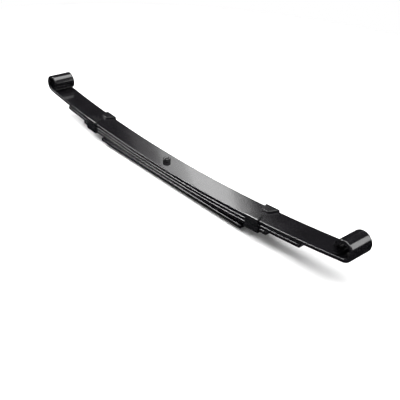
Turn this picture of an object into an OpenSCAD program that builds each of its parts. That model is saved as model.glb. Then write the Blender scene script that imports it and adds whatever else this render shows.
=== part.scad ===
// Two-stage multi-leaf spring with rolled eyes, for a light utility vehicle.
// Origin: where the centre bolt's axis meets the underside of the helper leaf.
// +X runs to the rear (long) arm, +Z up through the pack to the main leaf.

/* [Leaves] */
// Width of every leaf
leaf_w = 38.1; // [30:0.1:64]
// Thickness of every leaf
leaf_t = 5.2; // [4:0.1:7]
// Radius of the main leaf's upper surface, outside its flat seat
main_r = 2260; // [1600:10:4000]
// Half length of the flat that each curved leaf has at the bolt
seat_half = 6; // [5:0.5:15]

/* [Main leaf] */
// Distance from the bolt to where the front eye starts
main_front_reach = 307.6; // [280:0.1:420]
// Distance from the bolt to where the rear eye starts
main_rear_reach = 351.7; // [300:0.1:460]
// Bore of both eyes
eye_bore_d = 19.4; // [14:0.1:24]
// Angle that the leaf is rolled through to make an eye
roll_sweep = 305; // [280:1:308]

/* [Second leaf] */
// How much shorter than the main leaf it is in front
second_front_step = 55.4; // [45:0.1:70]
// How much shorter than the main leaf it is at the rear
second_rear_step = 65; // [50:0.1:80]
// Space between the main and second leaves at the tip pads
pad_gap = 1.4; // [1:0.1:3]

/* [Third leaf] */
// How much shorter than the second leaf it is in front
third_front_step = 48.7; // [40:0.1:60]
// How much shorter than the second leaf it is at the rear
third_rear_step = 55.9; // [46:0.1:68]
// Space between the second and third leaves at the clips
nest_gap = 0.1; // [0.05:0.05:0.5]

/* [Helper leaf] */
// Space between the helper's front end and the front clip
helper_front_clear = 15.1; // [8:0.1:40]
// Space between the helper's rear end and the rear clip
helper_rear_clear = 8.6; // [7:0.1:40]
// Radius of its upper surface, outside its flat seat
helper_r = 8500; // [4000:100:20000]
// Half length of its flat seat, which rests on the axle
helper_seat_half = 45; // [30:1:60]
// Distance from the bolt to the scored line across its underside
score_reach = 143; // [90:1:150]
// Width of the scored line
score_w = 0.8; // [0.4:0.1:1.5]
// Depth of the scored line
score_depth = 0.4; // [0.2:0.1:1]

/* [Rebound clips] */
// Length of a clip along the leaves
clip_len = 24; // [16:0.5:30]
// Thickness of the clip's strap
clip_t = 2.3; // [1.5:0.1:3.5]
// Distance from the third leaf's end to the clip's middle
clip_setback = 25.5; // [20:0.5:32]
// How far each tab reaches in from the leaf's edge
tab_reach = 14; // [8:0.5:16]
// Length of a tab at its rounded tip
tab_tip_len = 13; // [8:0.5:16]
// Radius of the tab's two tip corners
tab_corner_r = 4; // [1:0.5:4]

/* [Clip rivets] */
// Diameter of the domed head
rivet_head_d = 12; // [9:0.5:16]
// Height of the domed head
rivet_head_h = 4.5; // [2.5:0.1:5.5]
// Diameter of the shank
rivet_d = 6; // [4:0.1:8]

/* [Tip pads] */
// Diameter of the pad between the leaves
pad_d = 24; // [14:0.5:30]
// Distance from the second leaf's end to the pad's middle
pad_setback = 23; // [18:0.5:28]
// Diameter of the stud through the second leaf
stud_d = 7; // [5:0.1:9]
// Diameter of the button that holds the stud
button_d = 10.5; // [9.5:0.1:14]
// Height of the button
button_h = 2; // [1:0.1:4]
// Diameter of the recess in the button
recess_d = 5.7; // [3:0.1:6.5]
// Depth of the recess in the button
recess_depth = 1.3; // [0.5:0.1:3]

/* [Centre bolt] */
// Diameter of the shank
bolt_d = 6.35; // [5:0.05:8]
// Diameter of the round head, which locates the axle
head_d = 12; // [10:0.1:16]
// Height of the head
head_h = 6; // [4:0.1:8]
// Size across the flats of the head's socket
socket_af = 6; // [4:0.1:7]
// Depth of the head's socket
socket_depth = 3; // [2:0.1:4]
// How far the shank stands past the nut
bolt_past_nut = 2; // [1:0.1:6]
// Size across the flats of the nut
nut_af = 11.1; // [10:0.1:16]
// Height of the nut
nut_h = 5.6; // [4:0.1:8]
// Chamfer on the ends of the bolt and the nut
bolt_chamfer = 0.6; // [0.3:0.1:1]

/* [Fits] */
// Radial clearance of the bolt, the rivets and the studs in their holes
hole_clear = 0.1; // [0.05:0.05:0.3]
// Clearance between faces that lie against a curved leaf
face_clear = 0.05; // [0.05:0.05:0.2]
// Clearance of the pad below the main leaf
pad_clear = 0.3; // [0.25:0.05:0.6]
// Clearance of the clip's tabs above the main leaf
tab_clear = 0.35; // [0.3:0.05:1]
// Clearance of the clip's sides beside the leaves
side_clear = 0.4; // [0.3:0.05:1]

/* [Hidden] */
FRONT = -1;
REAR = 1;

// Radial clearance between the bolt's thread and the nut
thread_clear = 0.03;
// Extra length that cuts run past the faces they cut
past = 1;
// Depth that is reamed out of the wall of each eye
ream = 0.1;
// Flats that stand for the curve of an arm and of an eye's roll in an outline
arm_steps = 24;
roll_steps = 60;

// Distance from the bolt to each leaf's end
second_front_reach = main_front_reach - second_front_step;
second_rear_reach = main_rear_reach - second_rear_step;
third_front_reach = second_front_reach - third_front_step;
third_rear_reach = second_rear_reach - third_rear_step;

// Distance from the bolt to the middle of each pad and clip
pad_front_reach = second_front_reach - pad_setback;
pad_rear_reach = second_rear_reach - pad_setback;
clip_front_reach = third_front_reach - clip_setback;
clip_rear_reach = third_rear_reach - clip_setback;
helper_front_reach = clip_front_reach - clip_len / 2 - helper_front_clear;
helper_rear_reach = clip_rear_reach - clip_len / 2 - helper_rear_clear;

// Height of each leaf's upper surface at the bolt
helper_top = leaf_t;
third_top = 2 * leaf_t;
second_top = 3 * leaf_t;
main_top = 4 * leaf_t;

// Which of two values belongs to an arm
function of_side(side, front, rear) = side == FRONT ? front : rear;
// Rise of a circular arc of radius r over a run q from its lowest point
function rise(r, q) = r - sqrt(r * r - q * q);
// Radius of the circular arc that rises h over a run q
function arc_radius(q, h) = (q * q + h * h) / (2 * h);
// Radius of a leaf's upper surface that falls away from a lower surface of
// radius r_above to a given gap at a distance reach from the bolt
function nested_radius(r_above, reach, gap) =
    arc_radius(reach - seat_half, rise(r_above, reach - seat_half) - gap);

function pad_reach(side) = of_side(side, pad_front_reach, pad_rear_reach);
function clip_reach(side) = of_side(side, clip_front_reach, clip_rear_reach);
function second_r(side) = nested_radius(main_r + leaf_t, pad_reach(side), pad_gap);
function third_r(side) = nested_radius(second_r(side) + leaf_t, clip_reach(side), nest_gap);

// Space between the main and second leaves at a clip
function clip_gap(side) =
    rise(main_r + leaf_t, clip_reach(side) - seat_half) - rise(second_r(side), clip_reach(side) - seat_half);
// Height of the three leaves that a clip holds, with the spaces between them
function clipped_height(side) = 3 * leaf_t + clip_gap(side) + nest_gap;

// Turns what is drawn for the rear arm to face the front
module to_side(side) {
    rotate([0, 0, side == FRONT ? 180 : 0]) children();
}

// Places children on a curved surface of radius r that starts at height z:
// X runs out along the arm and Z stands square to the surface
module on_arm(side, reach, z, r) {
    to_side(side)
        translate([seat_half, 0, z + r])
            rotate([0, -asin((reach - seat_half) / r), 0])
                translate([0, 0, -r])
                    children();
}

// One arm of a leaf, from its flat seat out to its end
module leaf_arm(side, reach, top, r, flat_half) {
    to_side(side)
        translate([flat_half, leaf_w / 2, top + r])
            rotate([90, 0, 0])
                rotate_extrude(angle = asin((reach - flat_half) / r), start = -90, $fn = 720)
                    translate([r, 0])
                        square([leaf_t, leaf_w]);
}

// Flat seat of a leaf at the bolt
module leaf_seat(top, flat_half) {
    translate([-flat_half, -leaf_w / 2, top - leaf_t])
        cube([2 * flat_half, leaf_w, leaf_t]);
}

// Hole for the centre bolt through a leaf
module bolt_hole(top) {
    translate([0, 0, top - leaf_t - past])
        cylinder(d = bolt_d + 2 * hole_clear, h = leaf_t + 2 * past, $fn = 48);
}

// Points along a circular arc around centre c
function arc_points(c, r, from, to, steps) =
    [for (i = [0:steps]) let (a = from + (to - from) * i / steps) c + r * [cos(a), sin(a)]];

// Angle through which one arm of the main leaf bends up
function main_bend(side) = asin((of_side(side, main_front_reach, main_rear_reach) - seat_half) / main_r);
// Middle of an eye in the XZ plane, drawn for the rear arm
function eye_centre(side) =
    [seat_half, main_top + main_r] + (main_r - eye_bore_d / 2 + ream) * [sin(main_bend(side)), -cos(main_bend(side))];

// Side outline of one arm of the main leaf: out along its underside, around
// the eye's roll and back along its top
function main_arm_outline(side) =
    let (
        bend = main_bend(side),
        tip = bend - 90,
        arch = [seat_half, main_top + main_r],
        roll = eye_centre(side)
    )
    concat(
        arc_points(arch, main_r + leaf_t, -90, tip, arm_steps),
        arc_points(roll, eye_bore_d / 2 + leaf_t - ream, tip, tip + roll_sweep, roll_steps),
        arc_points(roll, eye_bore_d / 2 - ream, tip + roll_sweep, tip, roll_steps),
        arc_points(arch, main_r, tip, -90, arm_steps)
    );

// Each eye's bore is reamed a hair larger than its roll, into the leaf's top
module eye_bore(side) {
    to_side(side)
        translate([eye_centre(side)[0], 0, eye_centre(side)[1]])
            rotate([90, 0, 0])
                cylinder(d = eye_bore_d, h = leaf_w + 2 * past, center = true, $fn = 96);
}

module main_leaf() {
    rear = main_arm_outline(REAR);
    front = main_arm_outline(FRONT);
    front_turned = [for (i = [len(front) - 1:-1:0]) [-front[i][0], front[i][1]]];
    color("#1b1b1e")
        difference() {
            translate([0, leaf_w / 2, 0])
                rotate([90, 0, 0])
                    linear_extrude(leaf_w)
                        polygon(concat(rear, front_turned));
            eye_bore(FRONT);
            eye_bore(REAR);
            bolt_hole(main_top);
        }
}

module stud_hole(side) {
    on_arm(side, pad_reach(side), second_top, second_r(side))
        translate([0, 0, -leaf_t - past])
            cylinder(d = stud_d + 2 * hole_clear, h = leaf_t + 2 * past, $fn = 48);
}

module second_leaf() {
    color("#1e1e21")
        difference() {
            union() {
                leaf_seat(second_top, seat_half);
                leaf_arm(FRONT, second_front_reach, second_top, second_r(FRONT), seat_half);
                leaf_arm(REAR, second_rear_reach, second_top, second_r(REAR), seat_half);
            }
            bolt_hole(second_top);
            stud_hole(FRONT);
            stud_hole(REAR);
        }
}

module rivet_hole(side) {
    on_arm(side, clip_reach(side), third_top, third_r(side))
        translate([0, 0, -leaf_t - past])
            cylinder(d = rivet_d + 2 * hole_clear, h = leaf_t + 2 * past, $fn = 48);
}

module third_leaf() {
    color("#212124")
        difference() {
            union() {
                leaf_seat(third_top, seat_half);
                leaf_arm(FRONT, third_front_reach, third_top, third_r(FRONT), seat_half);
                leaf_arm(REAR, third_rear_reach, third_top, third_r(REAR), seat_half);
            }
            bolt_hole(third_top);
            rivet_hole(FRONT);
            rivet_hole(REAR);
        }
}

module helper_leaf() {
    score_rise = rise(helper_r + leaf_t, score_reach - helper_seat_half);
    color("#19191b")
        difference() {
            union() {
                leaf_seat(helper_top, helper_seat_half);
                leaf_arm(FRONT, helper_front_reach, helper_top, helper_r, helper_seat_half);
                leaf_arm(REAR, helper_rear_reach, helper_top, helper_r, helper_seat_half);
            }
            bolt_hole(helper_top);
            translate([score_reach - score_w / 2, -leaf_w / 2 - past, score_rise + score_depth - leaf_t])
                cube([score_w, leaf_w + 2 * past, leaf_t]);
        }
}

// Closed strap section around the clipped leaves. The insides of its bends
// stay beside the leaves' corners
module strap_section(inner_w, inner_h) {
    difference() {
        rounded_rect(inner_w + 2 * clip_t, inner_h + 2 * clip_t, side_clear + clip_t, -clip_t);
        rounded_rect(inner_w, inner_h, side_clear, 0);
    }
}

// Rectangle centred on X with its lower edge at y0 and round corners
module rounded_rect(w, h, r, y0) {
    translate([0, y0]) {
        translate([-w / 2 + r, 0]) square([w - 2 * r, h]);
        translate([-w / 2, r]) square([w, h - 2 * r]);
        for (x = [-w / 2 + r, w / 2 - r], y = [r, h - r])
            translate([x, y]) circle(r = r, $fn = 32);
    }
}

// Outline of one tab from the side of the strap at y = 0 to its tip
module tab_outline(depth) {
    base = clip_len / 2;
    tip = tab_tip_len / 2;
    lean = atan2(base - tip, depth);
    steps = 8;
    middle = tip - tab_corner_r * (1 - sin(lean)) / cos(lean);
    corner = [for (i = [0:steps]) let (a = lean + (90 - lean) * i / steps)
        [middle + tab_corner_r * cos(a), depth - tab_corner_r + tab_corner_r * sin(a)]];
    mirrored = [for (i = [steps:-1:0]) [-corner[i][0], corner[i][1]]];
    polygon(concat([[base, 0]], corner, mirrored, [[-base, 0]]));
}

module clip(side) {
    inner_w = leaf_w + 2 * side_clear;
    inner_h = clipped_height(side) + face_clear + tab_clear;
    tab_depth = tab_reach + side_clear;
    color("#232326")
        on_arm(side, clip_reach(side), third_top, third_r(side))
            translate([0, 0, -leaf_t - face_clear])
                difference() {
                    translate([-clip_len / 2, 0, 0])
                        rotate([90, 0, 90])
                            linear_extrude(clip_len)
                                strap_section(inner_w, inner_h);
                    translate([0, 0, inner_h - past])
                        linear_extrude(clip_t + 2 * past)
                            difference() {
                                square([clip_len + 2 * past, inner_w], center = true);
                                for (turn = [0, 180])
                                    rotate([0, 0, turn])
                                        translate([0, -inner_w / 2])
                                            tab_outline(tab_depth);
                            }
                    translate([0, 0, -clip_t - past])
                        cylinder(d = rivet_d + 2 * hole_clear, h = clip_t + 2 * past, $fn = 48);
                }
}

module front_clip() { clip(FRONT); }
module rear_clip() { clip(REAR); }

module clip_rivet(side) {
    seat = leaf_t + face_clear + clip_t;
    dome_r = arc_radius(rivet_head_d / 2, rivet_head_h);
    color("#2a2a2d")
        on_arm(side, clip_reach(side), third_top, third_r(side))
            translate([0, 0, -seat]) {
                cylinder(d = rivet_d, h = seat - hole_clear, $fn = 48);
                intersection() {
                    translate([0, 0, dome_r - rivet_head_h]) sphere(r = dome_r, $fn = 64);
                    translate([0, 0, -rivet_head_h - past])
                        cylinder(d = rivet_head_d + 2 * past, h = rivet_head_h + past, $fn = 64);
                }
            }
}

module front_clip_rivet() { clip_rivet(FRONT); }
module rear_clip_rivet() { clip_rivet(REAR); }

module tip_pad(side) {
    button_top = -leaf_t - face_clear;
    color("#141414")
        on_arm(side, pad_reach(side), second_top, second_r(side))
            difference() {
                union() {
                    translate([0, 0, face_clear])
                        cylinder(d = pad_d, h = pad_gap - pad_clear, $fn = 64);
                    translate([0, 0, button_top - button_h / 2])
                        cylinder(d = stud_d, h = leaf_t + button_h / 2 + 3 * face_clear, $fn = 48);
                    translate([0, 0, button_top - button_h])
                        cylinder(d = button_d, h = button_h, $fn = 64);
                }
                translate([0, 0, button_top - button_h - past])
                    cylinder(d = recess_d, h = recess_depth + past, $fn = 48);
            }
}

module front_tip_pad() { tip_pad(FRONT); }
module rear_tip_pad() { tip_pad(REAR); }

// Solid of revolution of diameter d from z = 0 to h, chamfered at its top
module chamfered_rod(d, h, chamfer) {
    rotate_extrude($fn = 64)
        polygon([[0, 0], [d / 2, 0], [d / 2, h - chamfer], [d / 2 - chamfer, h], [0, h]]);
}

module centre_bolt() {
    color("#29292c")
        difference() {
            union() {
                mirror([0, 0, 1]) chamfered_rod(head_d, head_h, bolt_chamfer);
                chamfered_rod(bolt_d, main_top + nut_h + bolt_past_nut, bolt_chamfer);
            }
            translate([0, 0, -head_h - past])
                cylinder(d = socket_af / cos(30), h = socket_depth + past, $fn = 6);
        }
}

module centre_nut() {
    corner_d = nut_af / cos(30);
    color("#2b2b2e")
        translate([0, 0, main_top])
            difference() {
                intersection() {
                    cylinder(d = corner_d, h = nut_h, $fn = 6);
                    chamfered_rod(corner_d, nut_h, (corner_d - nut_af) / 2);
                }
                translate([0, 0, -past])
                    cylinder(d = bolt_d + 2 * thread_clear, h = nut_h + 2 * past, $fn = 48);
            }
}

main_leaf();
second_leaf();
third_leaf();
helper_leaf();
centre_bolt();
centre_nut();
front_clip();
rear_clip();
front_clip_rivet();
rear_clip_rivet();
front_tip_pad();
rear_tip_pad();
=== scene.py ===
"""Looks of a two-stage multi-leaf spring: formed leaves, rebound clips, fastenings and gloss paint."""

import logging
import math
from dataclasses import dataclass, field
from enum import Enum
from typing import Callable, Optional, Sequence

import bmesh
import bpy
from mathutils import Matrix, Vector


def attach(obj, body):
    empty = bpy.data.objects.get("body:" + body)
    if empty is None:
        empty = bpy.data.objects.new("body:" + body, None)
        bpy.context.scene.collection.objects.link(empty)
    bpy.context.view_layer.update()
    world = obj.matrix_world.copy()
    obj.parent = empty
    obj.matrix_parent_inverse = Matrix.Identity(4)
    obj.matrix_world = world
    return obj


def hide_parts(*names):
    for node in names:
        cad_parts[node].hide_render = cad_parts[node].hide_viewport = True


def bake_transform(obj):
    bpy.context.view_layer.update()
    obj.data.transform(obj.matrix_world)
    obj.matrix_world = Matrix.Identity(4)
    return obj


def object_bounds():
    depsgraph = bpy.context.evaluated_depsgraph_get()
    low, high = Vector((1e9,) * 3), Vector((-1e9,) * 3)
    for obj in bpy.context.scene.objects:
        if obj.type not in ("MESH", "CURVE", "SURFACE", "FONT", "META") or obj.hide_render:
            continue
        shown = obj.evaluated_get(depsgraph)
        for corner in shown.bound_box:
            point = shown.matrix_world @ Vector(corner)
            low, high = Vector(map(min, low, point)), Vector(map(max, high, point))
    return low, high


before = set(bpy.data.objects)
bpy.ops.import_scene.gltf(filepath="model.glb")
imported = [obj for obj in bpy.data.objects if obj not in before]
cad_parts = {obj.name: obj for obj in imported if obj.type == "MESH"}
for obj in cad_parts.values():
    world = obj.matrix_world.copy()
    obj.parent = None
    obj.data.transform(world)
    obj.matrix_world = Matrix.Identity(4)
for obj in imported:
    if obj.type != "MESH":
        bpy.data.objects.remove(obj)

CAD_LOW, CAD_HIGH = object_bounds()
MM = 0.001
ROOT_BODY = "clamped_pack"
CRISP_BAR_EDGE = math.radians(50)
CRISP_TURNED_EDGE = math.radians(38)

log = logging.getLogger("leaf_spring")


class Side(Enum):
    """The two arms of the spring, by the direction of X in which they run."""

    FRONT = -1
    REAR = 1

    @property
    def label(self) -> str:
        """The arm's name in lower case."""
        return self.name.lower()

    @property
    def body(self) -> str:
        """The moving body that the arm's own pieces ride on."""
        return f"{self.label}_arm"

    @property
    def turned(self) -> Matrix:
        """Turns what is drawn for the rear arm to face this one."""
        return Matrix.Rotation(0.0 if self is Side.REAR else math.pi, 4, "Z")


BySide = dict[Side, float]


def by_side(front: float, rear: float) -> BySide:
    """One value for each arm."""
    return {Side.FRONT: front, Side.REAR: rear}


# ---------------------------------------------------------------- node trees


class Socket:
    """A node's output that Python's operators can work on."""

    def __init__(self, builder: "NodeBuilder", output: bpy.types.NodeSocket) -> None:
        """Keep the output and the builder that adds nodes beside it."""
        self.builder = builder
        self.output = output

    def _maths(self, operation: str, *values: object) -> "Socket":
        """One Math node on the given values."""
        return self.builder.node("ShaderNodeMath", {"operation": operation}, dict(enumerate(values)))

    def __add__(self, other: object) -> "Socket":
        """Sum."""
        return self._maths("ADD", self, other)

    __radd__ = __add__

    def __mul__(self, other: object) -> "Socket":
        """Product."""
        return self._maths("MULTIPLY", self, other)

    __rmul__ = __mul__

    def __sub__(self, other: object) -> "Socket":
        """Difference."""
        return self._maths("SUBTRACT", self, other)

    def __rsub__(self, other: object) -> "Socket":
        """Difference, with this value taken away."""
        return self._maths("SUBTRACT", other, self)

    def __lt__(self, other: object) -> "Socket":
        """1 where this value is the smaller, and 0 elsewhere."""
        return self._maths("LESS_THAN", self, other)

    def __abs__(self) -> "Socket":
        """Size without its sign."""
        return self._maths("ABSOLUTE", self)

    def sign(self) -> "Socket":
        """-1, 0 or 1."""
        return self._maths("SIGN", self)


class NodeBuilder:
    """Adds nodes to a tree, each by one call."""

    def __init__(self, tree: bpy.types.NodeTree) -> None:
        """Keep the tree that is built."""
        self.tree = tree

    def node(
        self,
        kind: str,
        settings: Optional[dict] = None,
        inputs: Optional[dict] = None,
        output: object = 0,
    ) -> Socket:
        """Add a node, set it up and fill its inputs.

        Args:
            kind: The node's type.
            settings: Properties, which are set before the inputs.
            inputs: Values or sockets by input name or number.
            output: Name or number of the output that is wanted.

        Returns:
            The wanted output.
        """
        made = self.tree.nodes.new(kind)
        for name, value in (settings or {}).items():
            setattr(made, name, value)
        for key, value in (inputs or {}).items():
            if isinstance(value, Socket):
                self.tree.links.new(value.output, made.inputs[key])
            else:
                made.inputs[key].default_value = value
        return Socket(self, made.outputs[output])


@dataclass(frozen=True)
class Paint:
    """Black finish with a fine surface texture.

    Coarse and fine noise shift its colour and gloss a little, and a third noise raises its skin.
    """

    name: str
    dark: tuple[float, float, float]
    light: tuple[float, float, float]
    roughness: float
    roughness_spread: float
    coat: float
    peel_size: float
    peel_height: float
    peel_strength: float
    coat_roughness: float = 0.1
    cloud_size: float = 30 * MM
    cloud_detail: float = 4.0
    grain_size_share: float = 0.35
    grain_detail: float = 2.0
    peel_detail: float = 1.0
    grain_weight: float = 0.5
    noise_mean: float = 0.5

    def material(self) -> bpy.types.Material:
        """Build the finish.

        Returns:
            The material.
        """
        made = bpy.data.materials.new(self.name)
        made.use_nodes = True
        tree = made.node_tree
        tree.nodes.clear()
        build = NodeBuilder(tree)
        place = build.node("ShaderNodeTexCoord", output="Object")
        clouds = self._noise(build, place, self.cloud_size, self.cloud_detail)
        grain = self._noise(build, place, self.peel_size * self.grain_size_share, self.grain_detail)
        peel = self._noise(build, place, self.peel_size, self.peel_detail)
        colour = build.node(
            "ShaderNodeMix",
            {"data_type": "RGBA"},
            {0: clouds, 6: (*self.dark, 1.0), 7: (*self.light, 1.0)},
            2,
        )
        cloud_share = (clouds - self.noise_mean) * self.roughness_spread
        grain_share = (grain - self.noise_mean) * (self.roughness_spread * self.grain_weight)
        skin = build.node(
            "ShaderNodeBump",
            None,
            {"Strength": self.peel_strength, "Distance": self.peel_height, "Height": peel},
        )
        surface = build.node(
            "ShaderNodeBsdfPrincipled",
            None,
            {
                "Base Color": colour,
                "Roughness": cloud_share + grain_share + self.roughness,
                "Coat Weight": self.coat,
                "Coat Roughness": self.coat_roughness,
                "Normal": skin,
            },
        )
        end = tree.nodes.new("ShaderNodeOutputMaterial")
        tree.links.new(surface.output, end.inputs["Surface"])
        return made

    @staticmethod
    def _noise(build: NodeBuilder, place: Socket, size: float, detail: float) -> Socket:
        """Noise over the piece.

        Args:
            build: The tree's builder.
            place: Where the noise is read.
            size: Size of its features, in metres.
            detail: How many finer layers it has.

        Returns:
            The noise, from 0 to 1.
        """
        return build.node(
            "ShaderNodeTexNoise",
            None,
            {"Vector": place, "Scale": 1.0 / size, "Detail": detail, "Roughness": 0.5},
        )


LEAF_PAINT = Paint(
    name="gloss_black",
    dark=(0.003, 0.003, 0.0035),
    light=(0.006, 0.0055, 0.007),
    roughness=0.18,
    roughness_spread=0.06,
    coat=0.6,
    peel_size=1.6 * MM,
    peel_height=0.05 * MM,
    peel_strength=0.06,
)
CLIP_PAINT = Paint(
    name="strap_black",
    dark=(0.003, 0.003, 0.0035),
    light=(0.007, 0.007, 0.008),
    roughness=0.24,
    roughness_spread=0.08,
    coat=0.5,
    peel_size=1.2 * MM,
    peel_height=0.06 * MM,
    peel_strength=0.2,
)
HARDWARE_PAINT = Paint(
    name="hardware_black",
    dark=(0.004, 0.004, 0.0045),
    light=(0.009, 0.009, 0.01),
    roughness=0.22,
    roughness_spread=0.1,
    coat=0.6,
    peel_size=0.8 * MM,
    peel_height=0.05 * MM,
    peel_strength=0.2,
)
PAD_PLASTIC = Paint(
    name="satin_plastic",
    dark=(0.012, 0.012, 0.012),
    light=(0.022, 0.022, 0.022),
    roughness=0.5,
    roughness_spread=0.1,
    coat=0.0,
    peel_size=0.6 * MM,
    peel_height=0.05 * MM,
    peel_strength=0.3,
)


def bar_tree() -> bpy.types.NodeTree:
    """Build the tree that forms a flat bar with rounded edges along a path.

    The profile has a point just inside each rounded edge, which keeps the flats flat in shading.

    Returns:
        A tree with inputs Path, Width, Thickness, Edge Radius, Edge Support and Finish.
    """
    supports_per_flat = 2
    corner_steps = 4
    between_supports_and_corners = 0.4
    tree = bpy.data.node_groups.new("formed_bar", "GeometryNodeTree")
    sockets = tree.interface
    sockets.new_socket("Path", in_out="INPUT", socket_type="NodeSocketGeometry")
    for name in ("Width", "Thickness", "Edge Radius", "Edge Support"):
        sockets.new_socket(name, in_out="INPUT", socket_type="NodeSocketFloat")
    sockets.new_socket("Finish", in_out="INPUT", socket_type="NodeSocketMaterial")
    sockets.new_socket("Bar", in_out="OUTPUT", socket_type="NodeSocketGeometry")
    build = NodeBuilder(tree)
    entry = tree.nodes.new("NodeGroupInput")
    given = {s.name: Socket(build, s) for s in entry.outputs if s.name}

    outline = build.node(
        "GeometryNodeCurvePrimitiveQuadrilateral",
        None,
        {"Width": given["Width"], "Height": given["Thickness"]},
    )
    divided = build.node("GeometryNodeSubdivideCurve", None, {"Curve": outline, "Cuts": supports_per_flat})
    position = build.node("GeometryNodeInputPosition")
    split = build.node("ShaderNodeSeparateXYZ", None, {0: position})
    parts = [Socket(build, s) for s in split.output.node.outputs]
    inset = given["Edge Radius"] + given["Edge Support"]
    moved = []
    for part, size in zip(parts, (given["Width"], given["Thickness"])):
        inner = abs(part) < size * between_supports_and_corners
        moved.append(part * (1 - inner) + part.sign() * (size * 0.5 - inset) * inner)
    place = build.node("ShaderNodeCombineXYZ", None, dict(enumerate(moved)))
    supported = build.node("GeometryNodeSetPosition", None, {"Geometry": divided, "Position": place})
    profile = build.node(
        "GeometryNodeFilletCurve",
        {"mode": "POLY"},
        {"Curve": supported, "Count": corner_steps, "Radius": given["Edge Radius"]},
    )
    path = build.node("GeometryNodeMeshToCurve", None, {"Mesh": given["Path"]})
    bar = build.node("GeometryNodeCurveToMesh", None, {"Curve": path, "Profile Curve": profile})
    smooth = build.node("GeometryNodeSetShadeSmooth", None, {"Geometry": bar})
    real = build.node("GeometryNodeRealizeInstances", None, {"Geometry": smooth})
    done = build.node("GeometryNodeSetMaterial", None, {"Geometry": real, "Material": given["Finish"]})
    end = tree.nodes.new("NodeGroupOutput")
    tree.links.new(done.output, end.inputs["Bar"])
    return tree


# ---------------------------------------------------------------- mesh tools


def new_object(name: str, data: bpy.types.ID) -> bpy.types.Object:
    """Put a mesh, a lamp or a camera in the scene under a name."""
    made = bpy.data.objects.new(name, data)
    bpy.context.scene.collection.objects.link(made)
    return made


def mark_sharp(bm: bmesh.types.BMesh, angle: float) -> None:
    """Shade every face smooth, with the edges sharper than an angle left crisp.

    Args:
        bm: The mesh.
        angle: Least angle of a crisp edge, in radians.
    """
    for face in bm.faces:
        face.smooth = True
    for edge in bm.edges:
        edge.smooth = len(edge.link_faces) == 2 and edge.calc_face_angle(0.0) < angle


@dataclass
class FormedBar:
    """A bar of flat steel, bent along a path in one plane.

    Its first end may keep square edges, where the bar carries on in another piece.
    """

    width: float
    thickness: float
    edge_radius: float = 1.0 * MM
    edge_support: float = 0.5 * MM
    end_round: float = 0.7 * MM
    end_round_steps: int = 3
    merge_distance: float = 0.002 * MM

    def mesh(
        self,
        tree: bpy.types.NodeTree,
        path: Sequence[Vector],
        finish: bpy.types.Material,
        square_start: bool,
    ) -> bpy.types.Mesh:
        """Form the bar and close its ends.

        Args:
            tree: The tree that forms bars.
            path: Points along the middle of the thickness.
            finish: The bar's material.
            square_start: Whether the first end keeps its square edges.

        Returns:
            A closed mesh.
        """
        line = bpy.data.meshes.new("path")
        line.from_pydata([tuple(p) for p in path], [(i, i + 1) for i in range(len(path) - 1)], [])
        carrier = new_object("path", line)
        modifier = carrier.modifiers.new("form", "NODES")
        modifier.node_group = tree
        sizes = {
            "Width": self.width,
            "Thickness": self.thickness,
            "Edge Radius": self.edge_radius,
            "Edge Support": self.edge_support,
            "Finish": finish,
        }
        for item in tree.interface.items_tree:
            if item.in_out == "INPUT" and item.name in sizes:
                modifier[item.identifier] = sizes[item.name]
        graph = bpy.context.evaluated_depsgraph_get()
        mesh = bpy.data.meshes.new_from_object(carrier.evaluated_get(graph))
        bpy.data.objects.remove(carrier)
        self._close(mesh, path, square_start)
        return mesh

    def _close(self, mesh: bpy.types.Mesh, path: Sequence[Vector], square_start: bool) -> None:
        """Cap both ends and round the free ones.

        Args:
            mesh: The open bar, which is changed.
            path: The points that it follows.
            square_start: Whether the first end keeps its square edges.
        """
        bm = bmesh.new()
        bm.from_mesh(mesh)
        bmesh.ops.remove_doubles(bm, verts=bm.verts, dist=self.merge_distance)
        bmesh.ops.holes_fill(bm, edges=[e for e in bm.edges if e.is_boundary], sides=0)
        bmesh.ops.recalc_face_normals(bm, faces=bm.faces)
        # A cap has more corners than a side face, or than any face that the rounding leaves.
        side_face_corners, rounding_face_corners = 4, 8
        caps = [f for f in bm.faces if len(f.verts) > side_face_corners]
        seam = min(caps, key=lambda f: (f.calc_center_median() - path[0]).length)
        free = [f for f in caps if f is not seam or not square_start]
        rims = [e for f in free for e in f.edges]
        bmesh.ops.bevel(
            bm,
            geom=rims,
            offset=self.end_round,
            segments=self.end_round_steps,
            profile=0.5,
            affect="EDGES",
            clamp_overlap=False,
        )
        for face in [f for f in bm.faces if len(f.verts) > rounding_face_corners]:
            if not square_start or (face.calc_center_median() - path[0]).length > self.thickness:
                bmesh.ops.inset_individual(bm, faces=[face], thickness=self.edge_support)
        mark_sharp(bm, CRISP_BAR_EDGE)
        bm.to_mesh(mesh)
        bm.free()


Radius = Callable[[float], float]


def round_at(radius: float) -> Radius:
    """A ring of one radius."""
    return lambda turn: radius


def hexagon_at(across_flats: float) -> Radius:
    """A ring with six flats.

    Args:
        across_flats: Distance between opposite flats.

    Returns:
        The ring's radius by direction.
    """

    def radius(turn: float) -> float:
        """Distance from the middle to a flat along a direction."""
        step = math.pi / 3
        return across_flats / 2 / math.cos((turn + step / 2) % step - step / 2)

    return radius


def limited(ring: Radius, most: float) -> Radius:
    """A ring that a cone cuts off past a radius."""
    return lambda turn: min(ring(turn), most)


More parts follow.
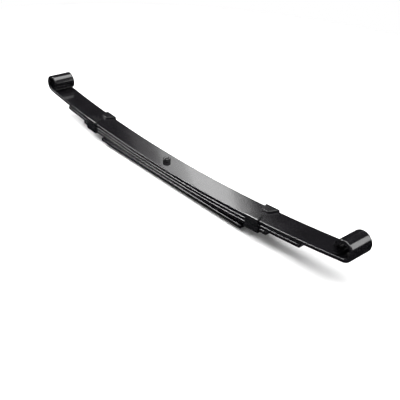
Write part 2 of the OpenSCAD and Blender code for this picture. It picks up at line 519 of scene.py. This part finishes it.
def turned_mesh(name: str, rings: Sequence[tuple[float, Radius]], steps: int, closed: bool) -> bpy.types.Mesh:
    """Make a solid from rings around Z.

    Args:
        name: The mesh's name.
        rings: Height and radius of each ring, in order along the surface.
        steps: Points in a ring.
        closed: Whether the last ring joins the first. Otherwise a point closes each end.

    Returns:
        A closed mesh whose faces point outwards.
    """
    bm = bmesh.new()
    rows = []
    for height, radius in rings:
        turns = [2 * math.pi * i / steps for i in range(steps)]
        rows.append([bm.verts.new((radius(t) * math.cos(t), radius(t) * math.sin(t), height)) for t in turns])
    pairs = list(zip(rows, rows[1:])) + ([(rows[-1], rows[0])] if closed else [])
    for low, high in pairs:
        for i in range(steps):
            j = (i + 1) % steps
            bm.faces.new((low[i], low[j], high[j], high[i]))
    if not closed:
        for row, height in ((rows[0], rings[0][0]), (rows[-1], rings[-1][0])):
            middle = bm.verts.new((0.0, 0.0, height))
            for i in range(steps):
                bm.faces.new((row[i], row[(i + 1) % steps], middle))
    bmesh.ops.recalc_face_normals(bm, faces=bm.faces)
    mark_sharp(bm, CRISP_TURNED_EDGE)
    mesh = bpy.data.meshes.new(name)
    bm.to_mesh(mesh)
    bm.free()
    return mesh


Point = tuple[float, float]


def rounded(start: Point, corner: Point, end: Point, size: float, steps: int = 4) -> list[Point]:
    """Round the corner of a profile.

    Args:
        start: A point of the profile before the corner, as radius and height.
        corner: The corner.
        end: A point of the profile after the corner.
        size: How far from the corner the rounding starts.
        steps: Steps in the rounding.

    Returns:
        Points from the start of the rounding to its end.
    """
    middle, before, after = Vector(corner), Vector(start), Vector(end)
    first = middle + (before - middle).normalized() * size
    last = middle + (after - middle).normalized() * size
    points = []
    for i in range(steps + 1):
        t = i / steps
        points.append(tuple((1 - t) ** 2 * first + 2 * t * (1 - t) * middle + t**2 * last))
    return points


def as_rings(profile: Sequence[Point]) -> list[tuple[float, Radius]]:
    """Rings from a profile of radii and heights."""
    return [(height, round_at(radius)) for radius, height in profile]


# ---------------------------------------------------------------- the spring


@dataclass(frozen=True)
class Finishes:
    """The materials that the pieces are dressed in."""

    leaf: bpy.types.Material
    clip: bpy.types.Material
    hardware: bpy.types.Material
    pad: bpy.types.Material


@dataclass
class Pack:
    """Driving sizes of the pack, in metres and degrees, and the curves that follow from them."""

    leaf_count: int = 4
    width: float = 38.1 * MM
    thickness: float = 5.2 * MM
    main_radius: float = 2260 * MM
    seat_half: float = 6 * MM
    main_reach: BySide = field(default_factory=lambda: by_side(307.6 * MM, 351.7 * MM))
    second_step: BySide = field(default_factory=lambda: by_side(55.4 * MM, 65 * MM))
    third_step: BySide = field(default_factory=lambda: by_side(48.7 * MM, 55.9 * MM))
    helper_clear: BySide = field(default_factory=lambda: by_side(15.1 * MM, 8.6 * MM))
    helper_radius: float = 8500 * MM
    helper_seat_half: float = 45 * MM
    score_reach: float = 143 * MM
    score_width: float = 0.8 * MM
    score_depth: float = 0.4 * MM
    score_slope: float = 0.1 * MM
    eye_radius: float = 9.7 * MM
    ream: float = 0.1 * MM
    roll_sweep: float = 305.0
    pad_gap: float = 1.4 * MM
    pad_setback: float = 23 * MM
    nest_gap: float = 0.1 * MM
    clip_length: float = 24 * MM
    clip_setback: float = 25.5 * MM

    @property
    def height(self) -> float:
        """Height of the leaves at the bolt."""
        return self.leaf_count * self.thickness

    @staticmethod
    def rise(radius: float, run: float) -> float:
        """Height that an arc gains over a run from its lowest point."""
        return radius - math.sqrt(radius**2 - run**2)

    def nested(self, above: float, reach: float, gap: float) -> float:
        """Radius of a leaf that falls away below another.

        Args:
            above: Radius of the lower surface of the leaf above.
            reach: Distance from the bolt where the gap is measured.
            gap: The gap there.

        Returns:
            Radius of the leaf's upper surface.
        """
        run = reach - self.seat_half
        height = self.rise(above, run) - gap
        return (run**2 + height**2) / (2 * height)

    def second_reach(self, side: Side) -> float:
        """Distance from the bolt to the second leaf's end."""
        return self.main_reach[side] - self.second_step[side]

    def third_reach(self, side: Side) -> float:
        """Distance from the bolt to the third leaf's end."""
        return self.second_reach(side) - self.third_step[side]

    def pad_reach(self, side: Side) -> float:
        """Distance from the bolt to a tip pad."""
        return self.second_reach(side) - self.pad_setback

    def clip_reach(self, side: Side) -> float:
        """Distance from the bolt to a clip."""
        return self.third_reach(side) - self.clip_setback

    def helper_reach(self, side: Side) -> float:
        """Distance from the bolt to the helper leaf's end."""
        return self.clip_reach(side) - self.clip_length / 2 - self.helper_clear[side]

    def second_radius(self, side: Side) -> float:
        """Radius of the second leaf's upper surface."""
        return self.nested(self.main_radius + self.thickness, self.pad_reach(side), self.pad_gap)

    def third_radius(self, side: Side) -> float:
        """Radius of the third leaf's upper surface."""
        return self.nested(self.second_radius(side) + self.thickness, self.clip_reach(side), self.nest_gap)

    def clipped_height(self, side: Side) -> float:
        """Height of the three leaves inside a clip."""
        run = self.clip_reach(side) - self.seat_half
        gap = self.rise(self.main_radius + self.thickness, run) - self.rise(self.second_radius(side), run)
        return 3 * self.thickness + gap + self.nest_gap

    def on_arm(self, side: Side, reach: float, top: float, radius: float) -> Matrix:
        """Place on a leaf's upper surface.

        Args:
            side: The arm.
            reach: Distance from the bolt.
            top: Height of the surface at the bolt.
            radius: Radius of the surface.

        Returns:
            A matrix whose X runs out along the arm and whose Z stands square to the surface.
        """
        angle = math.asin((reach - self.seat_half) / radius)
        return (
            side.turned
            @ Matrix.Translation((self.seat_half, 0, top + radius))
            @ Matrix.Rotation(-angle, 4, "Y")
            @ Matrix.Translation((0, 0, -radius))
        )


@dataclass
class Leaf:
    """One leaf, made as two halves that meet at the centre bolt."""

    name: str
    pack: Pack
    level: int
    radius: BySide
    reach: BySide
    seat_half: float
    with_eyes: bool = False
    scored: bool = False
    step: float = 5 * MM
    roll_steps: int = 100
    tail: float = 2.1 * MM
    bend_start: float = 30 * MM
    bend_end: float = 165 * MM

    @property
    def top(self) -> float:
        """Height of the leaf's upper surface at the bolt."""
        return self.level * self.pack.thickness

    def path(self, side: Side) -> list[Vector]:
        """Middle line of one half, from the bolt out.

        Args:
            side: The half.

        Returns:
            Points in the XZ plane.
        """
        half = self.pack.thickness / 2
        radius = self.radius[side]
        centre = Vector((self.seat_half, 0, self.top + radius))
        bend = math.asin((self.reach[side] - self.seat_half) / radius)
        points = [Vector((0, 0, self.top - half))]
        points += [centre + self._spoke(angle) * (radius + half) for angle in self._stations(side, bend)]
        if self.with_eyes:
            points += self._roll(centre, radius, bend)
        return [side.turned @ p for p in points]

    def _stations(self, side: Side, bend: float) -> list[float]:
        """Angles along the arc, with four more at the scored line's walls.

        Args:
            side: The half.
            bend: Angle of the whole arc.

        Returns:
            Angles in rising order.
        """
        steps = round(bend * self.radius[side] / self.step)
        angles = [bend * i / steps for i in range(steps + 1)]
        if self.scored and side is Side.REAR:
            pack = self.pack
            for wall in (-pack.score_width / 2, pack.score_width / 2):
                for slope in (-pack.score_slope / 2, pack.score_slope / 2):
                    run = pack.score_reach + wall + slope - self.seat_half
                    angles.append(math.asin(run / (self.radius[side] + pack.thickness)))
        return sorted(angles)

    def _cut_score(self, mesh: bpy.types.Mesh) -> None:
        """Sink the scored line into the rear half's underside.

        Args:
            mesh: The rear half, which is changed.
        """
        pack = self.pack
        radius = self.radius[Side.REAR]
        bm = bmesh.new()
        bm.from_mesh(mesh)
        for vert in bm.verts:
            if abs(vert.co.x - pack.score_reach) < pack.score_width / 2:
                climb = pack.rise(radius + pack.thickness, vert.co.x - self.seat_half)
                under = self.top - pack.thickness + climb
                vert.co.z = max(vert.co.z, under + pack.score_depth)
        mark_sharp(bm, CRISP_BAR_EDGE)
        bm.to_mesh(mesh)
        bm.free()

    def _roll(self, centre: Vector, radius: float, bend: float) -> list[Vector]:
        """Draw the eye's roll, which ends in a short straight tail.

        Args:
            centre: Centre of the leaf's arc.
            radius: Radius of the leaf's upper surface.
            bend: Angle at which the arc ends and the roll starts.

        Returns:
            Points after the arc's last one.
        """
        pack = self.pack
        eye = centre + self._spoke(bend) * (radius - pack.eye_radius + pack.ream)
        middle = pack.eye_radius - pack.ream + pack.thickness / 2
        sweep = math.radians(pack.roll_sweep) - self.tail / middle
        turns = [bend + sweep * i / self.roll_steps for i in range(1, self.roll_steps + 1)]
        points = [eye + self._spoke(turn) * middle for turn in turns]
        along = self._spoke(bend + sweep + math.pi / 2)
        return points + [points[-1] + along * self.tail]

    @staticmethod
    def _spoke(angle: float) -> Vector:
        """Direction from a centre of curvature, from straight down towards +X."""
        return Vector((math.sin(angle), 0, -math.cos(angle)))

    def build(self, tree: bpy.types.NodeTree, finish: bpy.types.Material) -> list[bpy.types.Object]:
        """Form both halves.

        Args:
            tree: The tree that forms bars.
            finish: The leaf's material.

        Returns:
            The front half and the rear half.
        """
        bar = FormedBar(self.pack.width, self.pack.thickness)
        halves = []
        for side in Side:
            mesh = bar.mesh(tree, self.path(side), finish, square_start=True)
            if self.scored and side is Side.REAR:
                self._cut_score(mesh)
            halves.append(new_object(f"{self.name}_{side.label}_half", mesh))
        return halves

    def fit(self, halves: Sequence[bpy.types.Object], bends: bool) -> None:
        """Hide the CAD leaf and tie the halves of a leaf that doesn't bend to the clamped pack; the halves of
        a bending leaf only have their transform baked into the mesh and are tied to no body.

        Args:
            halves: The front half and the rear half.
            bends: Whether the leaf is flagged as bending with the arms, which leaves its halves tied to no
                body.
        """
        for side, half in zip(Side, halves):
            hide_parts(self.name)
            if bends:
                start = (side.value * self.bend_start, 0, self.top)
                end = (side.value * self.bend_end, 0, self.top)
                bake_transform(half)
            else:
                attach(half, ROOT_BODY)
            log.info("%s: %d faces", half.name, len(half.data.polygons))


@dataclass
class Clip:
    """A strap bent around three leaves, with a rounded tab folded in over each side."""

    pack: Pack
    thickness: float = 2.3 * MM
    side_clear: float = 0.4 * MM
    face_clear: float = 0.05 * MM
    tab_clear: float = 0.35 * MM
    tab_reach: float = 14 * MM
    tab_tip_length: float = 13 * MM
    tab_corner: float = 4 * MM
    edge_radius: float = 0.8 * MM
    edge_support: float = 0.25 * MM
    end_round: float = 0.6 * MM

    def tab_half_length(self, depth: float) -> float:
        """Half the tab's length at a depth in from the strap's side.

        Args:
            depth: Distance in from the inside of the strap's side.

        Returns:
            Half the tab's length there.
        """
        full = self.tab_reach + self.side_clear
        base, tip = self.pack.clip_length / 2, self.tab_tip_length / 2
        lean = math.atan2(base - tip, full)
        round_start = full - self.tab_corner * (1 - math.sin(lean))
        if depth <= round_start:
            return base - max(depth, 0.0) * math.tan(lean)
        middle = tip - self.tab_corner * (1 - math.sin(lean)) / math.cos(lean)
        over = min(depth - full + self.tab_corner, self.tab_corner)
        return middle + math.sqrt(self.tab_corner**2 - over**2)

    def path(self, side: Side) -> list[Vector]:
        """Middle line of the strap, from one tab's tip to the other's.

        Args:
            side: The arm.

        Returns:
            Points in the YZ plane.
        """
        half = self.thickness / 2
        inner = self.pack.width / 2 + self.side_clear
        top = self.pack.clipped_height(side) + self.face_clear + self.tab_clear + half
        bend = self.side_clear + half
        tip = inner - self.tab_reach - self.side_clear
        bend_start = inner - self.side_clear
        tab_steps, bend_steps = 24, 6
        points = [Vector((0, -tip - (bend_start - tip) * i / tab_steps, top)) for i in range(tab_steps)]
        for z, start in ((top - bend, 90), (bend - half, 180)):
            for i in range(bend_steps + 1):
                turn = math.radians(start + 90 * i / bend_steps)
                points.append(Vector((0, bend * math.cos(turn) - bend_start, z + bend * math.sin(turn))))
        far = [Vector((0, -p.y, p.z)) for p in reversed(points)]
        return points + far

    def build(self, side: Side, tree: bpy.types.NodeTree, finish: bpy.types.Material) -> bpy.types.Object:
        """Form one clip in its place.

        Args:
            side: The arm that it sits on.
            tree: The tree that forms bars.
            finish: The clip's material.

        Returns:
            The clip.
        """
        pack = self.pack
        bar = FormedBar(pack.clip_length, self.thickness, self.edge_radius, self.edge_support, self.end_round)
        mesh = bar.mesh(tree, self.path(side), finish, square_start=False)
        inner = pack.width / 2 + self.side_clear
        tab_low = pack.clipped_height(side) + self.face_clear
        for vert in mesh.vertices:
            if vert.co.z > tab_low and abs(vert.co.y) < inner:
                share = self.tab_half_length(inner - abs(vert.co.y)) / (pack.clip_length / 2)
                vert.co.x *= share
        place = pack.on_arm(side, pack.clip_reach(side), 2 * pack.thickness, pack.third_radius(side))
        mesh.transform(place @ Matrix.Translation((0, 0, -pack.thickness - self.face_clear)))
        made = new_object(f"{side.label}_rebound_clip", mesh)
        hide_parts(f"{side.label}_clip")
        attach(made, side.body)
        log.info("%s: %d faces", made.name, len(mesh.polygons))
        return made


@dataclass
class Fastenings:
    """The centre bolt and nut, the clips' rivets and the tip pads."""

    pack: Pack
    clip: Clip
    bolt_diameter: float = 6.35 * MM
    bolt_points: int = 72
    thread_pitch: float = 1.27 * MM
    thread_depth: float = 0.55 * MM
    thread_levels: int = 110
    thread_starts_at_leaf: float = 3.6
    thread_end_chamfer: float = 0.8 * MM
    head_diameter: float = 12 * MM
    head_height: float = 6 * MM
    head_rim_round: float = 0.6 * MM
    seat_round: float = 0.15 * MM
    under_head_ease: float = 0.1 * MM
    socket_flats: float = 6 * MM
    socket_depth: float = 3 * MM
    socket_lead: float = 0.35 * MM
    socket_flare: float = 0.5 * MM
    socket_floor_ring: float = 0.2
    head_face_ring: float = 0.8
    past_nut: float = 2 * MM
    nut_flats: float = 11.1 * MM
    nut_height: float = 5.6 * MM
    nut_points: int = 96
    nut_chamfer: float = 0.9 * MM
    nut_face_share: float = 0.97
    nut_crown_share: float = 0.9
    nut_bore_clear: float = 0.05 * MM
    nut_bore_lead: float = 0.5 * MM
    nut_bore_foot_lead: float = 0.4 * MM
    rivet_head: float = 12 * MM
    rivet_height: float = 4.5 * MM
    rivet_rim: float = 0.6 * MM
    rivet_rim_round: float = 0.25 * MM
    rivet_points: int = 56
    rivet_shank: float = 6 * MM
    shank_end_depth: float = 0.1 * MM
    shank_end_round: float = 0.3 * MM
    pad_diameter: float = 24 * MM
    pad_thickness: float = 1.1 * MM
    pad_points: int = 64
    pad_rim_round: float = 0.4 * MM
    pad_face_ring: float = 0.5
    pad_ease: float = 0.2 * MM
    face_clear: float = 0.05 * MM
    stud_diameter: float = 7 * MM
    button_diameter: float = 10.5 * MM
    button_height: float = 2 * MM
    button_round: float = 0.5 * MM
    recess_diameter: float = 5.7 * MM
    recess_depth: float = 1.3 * MM
    recess_round: float = 0.3 * MM
    recess_floor_ring: float = 0.6

    def centre_bolt(self) -> bpy.types.Mesh:
        """Bolt with a round head below, a socket in it and a thread above.

        Returns:
            The mesh, in place.
        """
        head, foot = self.head_diameter / 2, -self.head_height
        shank = self.bolt_diameter / 2
        end = self.pack.height + self.nut_height + self.past_nut
        socket = hexagon_at(self.socket_flats)
        wide = limited(hexagon_at(self.socket_flats + self.socket_flare), head)
        floor = foot + self.socket_depth
        rings: list[tuple[float, Radius]] = [
            (floor, round_at(self.socket_flats * self.socket_floor_ring)),
            (floor, socket),
            (foot + self.socket_lead, socket),
            (foot, wide),
        ]
        rings += as_rings([(head * self.head_face_ring, foot)])
        rings += as_rings(rounded((0, foot), (head, foot), (head, 0), self.head_rim_round))
        rings += as_rings(rounded((head, foot), (head, 0), (0, 0), self.seat_round, 2))
        rings += as_rings([(shank + self.under_head_ease, 0.0), (shank, self.under_head_ease)])
        thread_start = self.thread_starts_at_leaf * self.pack.thickness
        for i in range(self.thread_levels + 1):
            height = thread_start + (end - thread_start) * i / self.thread_levels
            rings.append((height, self._thread(height, end)))
        return turned_mesh("centre_bolt", rings, self.bolt_points, closed=False)

    def _thread(self, height: float, end: float) -> Radius:
        """Ring of the thread, cut down by the chamfer at the bolt's end.

        Args:
            height: Height of the ring.
            end: Height of the bolt's end.

        Returns:
            The ring's radius by direction.
        """
        most = self.bolt_diameter / 2 - max(0.0, height - end + self.thread_end_chamfer)
        flank_slope, flank_offset = 1.6, 0.3

        def radius(turn: float) -> float:
            """Radius along a direction: a ridge climbs one pitch in a turn."""
            phase = (height / self.thread_pitch - turn / (2 * math.pi)) % 1.0
            groove = min(1.0, max(0.0, flank_slope * abs(2 * phase - 1) - flank_offset))
            return min(most, self.bolt_diameter / 2 - self.thread_depth * groove)

        return radius

    def centre_nut(self) -> bpy.types.Mesh:
        """Hexagon nut, chamfered above and below.

        Returns:
            The mesh, in place.
        """
        flats = hexagon_at(self.nut_flats)
        half_flats, corner = self.nut_flats / 2, self.nut_flats / math.sqrt(3)
        bore = self.bolt_diameter / 2 + self.nut_bore_clear
        bottom, top = 0.0, self.nut_height
        rings: list[tuple[float, Radius]] = [
            (bottom, round_at(bore + self.nut_bore_foot_lead)),
            (bottom, round_at(half_flats * self.nut_face_share)),
        ]
        cone_steps = 8
        for i in range(1, cone_steps + 1):
            share = i / cone_steps
            rings.append((bottom + self.nut_chamfer * share, limited(flats, self._cone(share, corner))))
        for i in range(cone_steps + 1):
            share = 1 - i / cone_steps
            rings.append((top - self.nut_chamfer * share, limited(flats, self._cone(share, corner))))
        rings += [
            (top, round_at(half_flats * self.nut_crown_share)),
            (top, round_at(bore + self.nut_bore_lead)),
            (top - self.nut_bore_lead, round_at(bore)),
            (bottom + self.nut_bore_foot_lead, round_at(bore)),
        ]
        mesh = turned_mesh("centre_nut", rings, self.nut_points, closed=True)
        mesh.transform(Matrix.Translation((0, 0, self.pack.height)))
        return mesh

    def _cone(self, share: float, corner: float) -> float:
        """Radius of the chamfer's cone between the nut's face, at 0, and its side, at 1."""
        low = self.nut_flats / 2 * self.nut_face_share
        return low + (corner - low) * math.sin(share * math.pi / 2)

    def clip_rivet(self, side: Side) -> bpy.types.Mesh:
        """Domed rivet under a clip.

        Args:
            side: The arm.

        Returns:
            The mesh, in place.
        """
        pack = self.pack
        seat = -(pack.thickness + self.clip.face_clear + self.clip.thickness)
        head, rim = self.rivet_head / 2, self.rivet_rim
        profile: list[Point] = []
        dome_steps = 14
        for i in range(1, dome_steps + 1):
            turn = math.pi / 2 * i / dome_steps
            drop = (self.rivet_height - rim) * math.cos(turn)
            profile.append((head * math.sin(turn), seat - rim - drop))
        profile += rounded((head, seat - rim), (head, seat), (0, seat), self.rivet_rim_round, 3)
        shank = self.rivet_shank / 2
        ease, end = self.under_head_ease, -self.shank_end_depth
        profile += [(shank + ease, seat), (shank, seat + ease)]
        profile += rounded((shank, seat), (shank, end), (0, end), self.shank_end_round, 2)
        mesh = turned_mesh(f"{side.label}_clip_rivet", as_rings(profile), self.rivet_points, closed=False)
        mesh.transform(pack.on_arm(side, pack.clip_reach(side), 2 * pack.thickness, pack.third_radius(side)))
        return mesh

    def tip_pad(self, side: Side) -> bpy.types.Mesh:
        """Moulded pad with a stud and a recessed button.

        Args:
            side: The arm.

        Returns:
            The mesh, in place.
        """
        pack = self.pack
        disc, stud = self.pad_diameter / 2, self.stud_diameter / 2
        button, recess = self.button_diameter / 2, self.recess_diameter / 2
        low, high = self.face_clear, self.face_clear + self.pad_thickness
        under = -pack.thickness - self.face_clear
        foot = under - self.button_height
        floor = foot + self.recess_depth
        profile = [(recess * self.recess_floor_ring, floor)]
        profile += rounded((0, floor), (recess, floor), (recess, foot), self.recess_round, 3)
        profile += rounded((recess, floor), (recess, foot), (button, foot), self.recess_round, 3)
        profile += rounded((recess, foot), (button, foot), (button, under), self.button_round)
        profile += rounded((button, foot), (button, under), (stud, under), self.pad_ease, 2)
        profile += [(stud, under), (stud, low)]
        profile += rounded((stud, low), (disc, low), (disc, high), self.pad_ease, 2)
        profile += rounded((disc, low), (disc, high), (0, high), self.pad_rim_round, 3)
        profile += [(disc * self.pad_face_ring, high)]
        mesh = turned_mesh(f"{side.label}_tip_pad", as_rings(profile), self.pad_points, closed=False)
        mesh.transform(pack.on_arm(side, pack.pad_reach(side), 3 * pack.thickness, pack.second_radius(side)))
        return mesh

    def build(self, finishes: Finishes) -> None:
        """Make every fastening and tie it to its body.

        Args:
            finishes: The materials.
        """
        self._fit(self.centre_bolt(), "centre_bolt", "round_head_bolt", ROOT_BODY, finishes.hardware)
        self._fit(self.centre_nut(), "centre_nut", "hexagon_nut", ROOT_BODY, finishes.hardware)
        for side in Side:
            rivet = f"{side.label}_clip_rivet"
            self._fit(self.clip_rivet(side), rivet, f"{side.label}_domed_rivet", side.body, finishes.hardware)
            pad = f"{side.label}_tip_pad"
            self._fit(self.tip_pad(side), pad, f"{side.label}_moulded_pad", side.body, finishes.pad)

    @staticmethod
    def _fit(mesh: bpy.types.Mesh, node: str, name: str, body: str, finish: bpy.types.Material) -> None:
        """Dress a mesh and let it stand for its CAD node.

        Args:
            mesh: The mesh, in place.
            node: The CAD node that it replaces.
            name: The piece's name.
            body: The body that it rides on.
            finish: Its material.
        """
        mesh.materials.append(finish)
        made = new_object(name, mesh)
        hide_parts(node)
        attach(made, body)
        log.info("%s: %d faces", name, len(mesh.polygons))


class Spring:
    """The whole spring."""

    def __init__(self, pack: Pack, finishes: Finishes) -> None:
        """Keep the sizes and the materials."""
        self.pack = pack
        self.finishes = finishes

    def leaves(self) -> list[tuple[Leaf, bool]]:
        """Describe the four leaves, from the top.

        Returns:
            Each leaf, with whether it bends with the arms.
        """
        pack = self.pack
        main_radii = by_side(pack.main_radius, pack.main_radius)
        second_radii = by_side(*(pack.second_radius(s) for s in Side))
        third_radii = by_side(*(pack.third_radius(s) for s in Side))
        helper_radii = by_side(pack.helper_radius, pack.helper_radius)
        second_reaches = by_side(*(pack.second_reach(s) for s in Side))
        third_reaches = by_side(*(pack.third_reach(s) for s in Side))
        helper_reaches = by_side(*(pack.helper_reach(s) for s in Side))
        seat, helper_seat = pack.seat_half, pack.helper_seat_half
        main = Leaf("main_leaf", pack, 4, main_radii, pack.main_reach, seat, with_eyes=True)
        second = Leaf("second_leaf", pack, 3, second_radii, second_reaches, seat)
        third = Leaf("third_leaf", pack, 2, third_radii, third_reaches, seat)
        helper = Leaf("helper_leaf", pack, 1, helper_radii, helper_reaches, helper_seat, scored=True)
        return [(main, True), (second, True), (third, True), (helper, False)]

    def build(self) -> None:
        """Make every piece of the spring."""
        tree = bar_tree()
        for leaf, bends in self.leaves():
            leaf.fit(leaf.build(tree, self.finishes.leaf), bends)
        clip = Clip(self.pack)
        for side in Side:
            clip.build(side, tree, self.finishes.clip)
        Fastenings(self.pack, clip).build(self.finishes)


# ---------------------------------------------------------------- the studio


@dataclass(frozen=True)
class SoftBox:
    """A rectangular lamp that faces a point."""

    name: str
    place: tuple[float, float, float]
    aim: tuple[float, float, float]
    size: tuple[float, float]
    power: float
    spin: float = 0.0

    def build(self) -> None:
        """Hang the lamp."""
        data = bpy.data.lights.new(self.name, "AREA")
        data.shape = "RECTANGLE"
        data.size, data.size_y = self.size
        data.energy = self.power
        lamp = new_object(self.name, data)
        lamp.location = self.place
        lamp.visible_camera = False
        facing = (Vector(self.aim) - Vector(self.place)).to_track_quat("-Z", "Y").to_matrix()
        lamp.rotation_euler = (facing @ Matrix.Rotation(math.radians(self.spin), 3, "Z")).to_euler()


@dataclass(frozen=True)
class Studio:
    """Pale floor and backdrop, soft light and the camera."""

    dome_radius: float = 2.3
    floor_radius: float = 1.0
    floor_drop: float = 0.2 * MM
    floor_points: int = 96
    floor_grey: float = 0.9
    azimuth: float = 47.142
    elevation: float = 30.72
    roll: float = 3.5
    distance: float = 1.0348
    aim: tuple[float, float, float] = (0.05846, 0.0203, -0.02809)
    lens: float = 60.53
    sky: float = 0.015

    def camera(self) -> None:
        """Set the camera up, looking at its aim from the azimuth and elevation."""
        data = bpy.data.cameras.new("camera")
        data.sensor_width = 36.0
        data.lens = self.lens
        data.clip_end = 100.0
        camera = new_object("camera", data)
        turn, lift, roll = (math.radians(a) for a in (self.azimuth, self.elevation, self.roll))
        back = Vector((math.sin(turn) * math.cos(lift), -math.cos(turn) * math.cos(lift), math.sin(lift)))
        level = Vector((math.cos(turn), math.sin(turn), 0))
        across = level * math.cos(roll) + back.cross(level) * math.sin(roll)
        above = back.cross(across)
        place = Matrix.Translation(Vector(self.aim) + back * self.distance)
        camera.matrix_world = place @ Matrix((across, above, back)).transposed().to_4x4()
        bpy.context.scene.camera = camera

    def floor(self) -> None:
        """Lay a pale round floor just under the spring.

        The paint doesn't mirror it, which keeps the leaves' sides dark. It ends where the light on it is
        still full, so its rim melts into the dome.
        """
        bm = bmesh.new()
        bmesh.ops.create_circle(bm, cap_ends=True, segments=self.floor_points, radius=self.floor_radius)
        bmesh.ops.translate(bm, verts=bm.verts, vec=(0, 0, CAD_LOW.z - self.floor_drop))
        mesh = bpy.data.meshes.new("floor")
        bm.to_mesh(mesh)
        bm.free()
        material = bpy.data.materials.new("floor")
        material.use_nodes = True
        surface = material.node_tree.nodes["Principled BSDF"]
        surface.inputs["Base Color"].default_value = (*[self.floor_grey] * 3, 1.0)
        surface.inputs["Roughness"].default_value = 0.9
        surface.inputs["Specular IOR Level"].default_value = 0.0
        mesh.materials.append(material)
        made = new_object("floor", mesh)
        made.visible_glossy = False

    def backdrop(self) -> None:
        """Close the room with a white dome that lights nothing."""
        bm = bmesh.new()
        bmesh.ops.create_uvsphere(bm, u_segments=64, v_segments=32, radius=self.dome_radius)
        bmesh.ops.reverse_faces(bm, faces=bm.faces)
        mesh = bpy.data.meshes.new("backdrop")
        bm.to_mesh(mesh)
        bm.free()
        material = bpy.data.materials.new("backdrop")
        material.use_nodes = True
        material.node_tree.nodes.clear()
        build = NodeBuilder(material.node_tree)
        glow = build.node("ShaderNodeEmission", None, {"Color": (1.0, 1.0, 1.0, 1.0), "Strength": 1.0})
        end = material.node_tree.nodes.new("ShaderNodeOutputMaterial")
        material.node_tree.links.new(glow.output, end.inputs["Surface"])
        mesh.materials.append(material)
        made = new_object("backdrop", mesh)
        made.visible_diffuse = made.visible_glossy = made.visible_shadow = False

    def world(self) -> None:
        """Fill the room with a dim even light."""
        world = bpy.data.worlds.new("room")
        world.use_nodes = True
        background = world.node_tree.nodes["Background"]
        background.inputs["Color"].default_value = (1.0, 1.0, 1.0, 1.0)
        background.inputs["Strength"].default_value = self.sky
        bpy.context.scene.world = world

    def lamps(self) -> list[SoftBox]:
        """Choose the soft boxes: place, aim, size and power of each.

        The four top cards stand side by side where the main leaf's top mirrors them, and make its sheen
        rise and fall. The edge card lights the leaves' rounded edges, and the eye card the rear eye.

        Returns:
            The soft boxes.
        """
        middle, pack_top = (0.0, 0.0, 0.0), 0.02
        card = (0.1, 0.5)
        side_fill = (1.0, 0.7)
        long_fill = (1.6, 0.6)
        return [
            SoftBox("overhead", (0.2, -0.1, 2.4), middle, (3.4, 3.4), 160.0),
            SoftBox("edge_card", (-1.0, -0.66, 1.04), (0.05, 0.0, pack_top), (0.5, 0.5), 22.0),
            SoftBox("top_card", (-0.961, 0.966, 0.723), (0.1, 0.0, pack_top), (0.127, 0.5), 0.64),
            SoftBox("top_card_shoulder", (-1.063, 0.915, 0.755), (0.03, 0.0, pack_top), card, 0.275),
            SoftBox("top_card_fringe", (-1.151, 0.875, 0.778), (-0.05, 0.0, pack_top), card, 0.055),
            SoftBox("top_card_tail", (-0.88, 1.006, 0.698), (0.17, 0.0, pack_top), (0.06, 0.5), 0.11),
            SoftBox("fill_ahead", (-1.3, -1.3, 0.75), middle, side_fill, 2.2),
            SoftBox("fill_behind", (1.3, -1.3, 0.75), middle, side_fill, 2.2),
            SoftBox("eye_card", (1.064, 1.0, 0.725), (0.35, 0.0, 0.057), (0.18, 0.86), 2.1, -33.9),
            SoftBox("fill_near", (0.0, -1.8, 0.85), middle, long_fill, 3.0),
            SoftBox("fill_far", (0.0, 1.8, 0.85), middle, long_fill, 3.0),
            SoftBox("fill_low", (-1.5, 0.6, 0.35), middle, (0.5, 0.4), 0.2),
        ]

    def build(self) -> None:
        """Set the whole studio up."""
        self.camera()
        self.floor()
        self.backdrop()
        self.world()
        for lamp in self.lamps():
            lamp.build()
        bpy.context.scene.view_settings.view_transform = "Standard"


def write_sizes() -> None:
    """Bring the view layer up to date."""
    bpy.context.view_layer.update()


def main() -> None:
    """Build the spring and its studio."""
    logging.basicConfig(level=logging.INFO, format="%(name)s: %(message)s")
    finishes = Finishes(
        leaf=LEAF_PAINT.material(),
        clip=CLIP_PAINT.material(),
        hardware=HARDWARE_PAINT.material(),
        pad=PAD_PLASTIC.material(),
    )
    Spring(Pack(), finishes).build()
    Studio().build()
    write_sizes()


if __name__ == "__main__":
    main()
